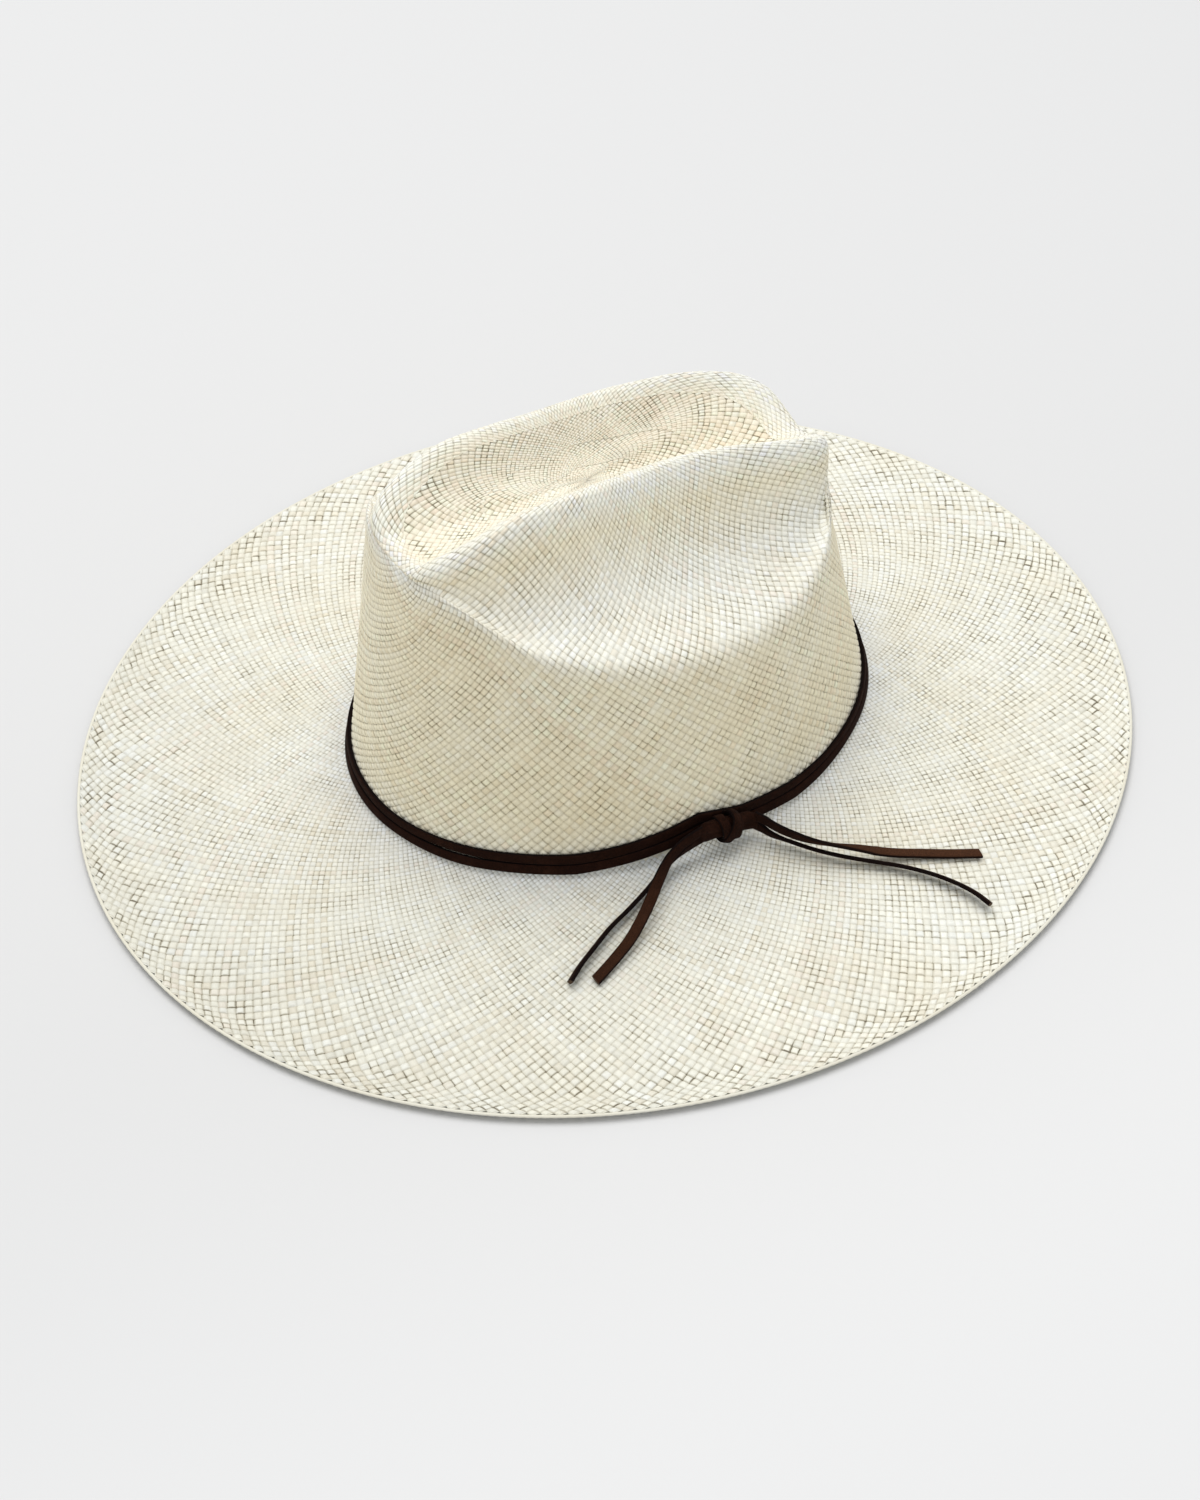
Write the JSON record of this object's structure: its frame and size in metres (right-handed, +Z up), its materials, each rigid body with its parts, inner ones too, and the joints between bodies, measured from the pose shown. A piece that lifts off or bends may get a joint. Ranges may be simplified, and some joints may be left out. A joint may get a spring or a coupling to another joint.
{
  "type": "panama hat",
  "caption": "Wide-brimmed woven straw hat with a creased teardrop crown, a sweatband inside and a doubled suede lace tied round the crown with loose tails.",
  "frame": {"origin": "centre of the hat's bounding box in plan, on the surface that the brim rests on", "axes": "+X towards the front of the hat, along its longest side; +Z up through the crown; the knot is on the -Y side"},
  "size_m": [0.4206, 0.38, 0.1514],
  "materials": {
    "straw": "bleached toquilla straw in a fine diagonal weave, dull satin",
    "sweatband_leather": "smooth thin leather",
    "thread": "twisted sewing thread",
    "suede": "dark brown suede, matt nap"
  },
  "bodies": {
    "hat_body": {"straw_body": "straw", "sweatband": "sweatband_leather", "sweatband_stitching": "thread"},
    "hatband": {"lower_lace": "suede", "upper_lace": "suede", "knot": "suede"},
    "left_tails": {"left_flat_tail": "suede", "left_edge_tail": "suede"},
    "right_tails": {"right_flat_tail": "suede", "right_edge_tail": "suede"}
  },
  "joints": [
    {"name": "hatband_lift", "type": "slide", "parent": "hat_body", "child": "hatband", "axis": [0, 0, 1], "range_m": [0, 0.13]},
    {"name": "left_tails_lift", "type": "hinge", "parent": "hatband", "child": "left_tails", "pos_m": [-0.0152, -0.0876, 0.0318], "axis": [-0.361, 0.9326, 0], "range_deg": [0, 45]},
    {"name": "right_tails_lift", "type": "hinge", "parent": "hatband", "child": "right_tails", "pos_m": [0.0046, -0.0887, 0.0275], "axis": [-0.76, -0.65, 0], "range_deg": [0, 45]}
  ]
}
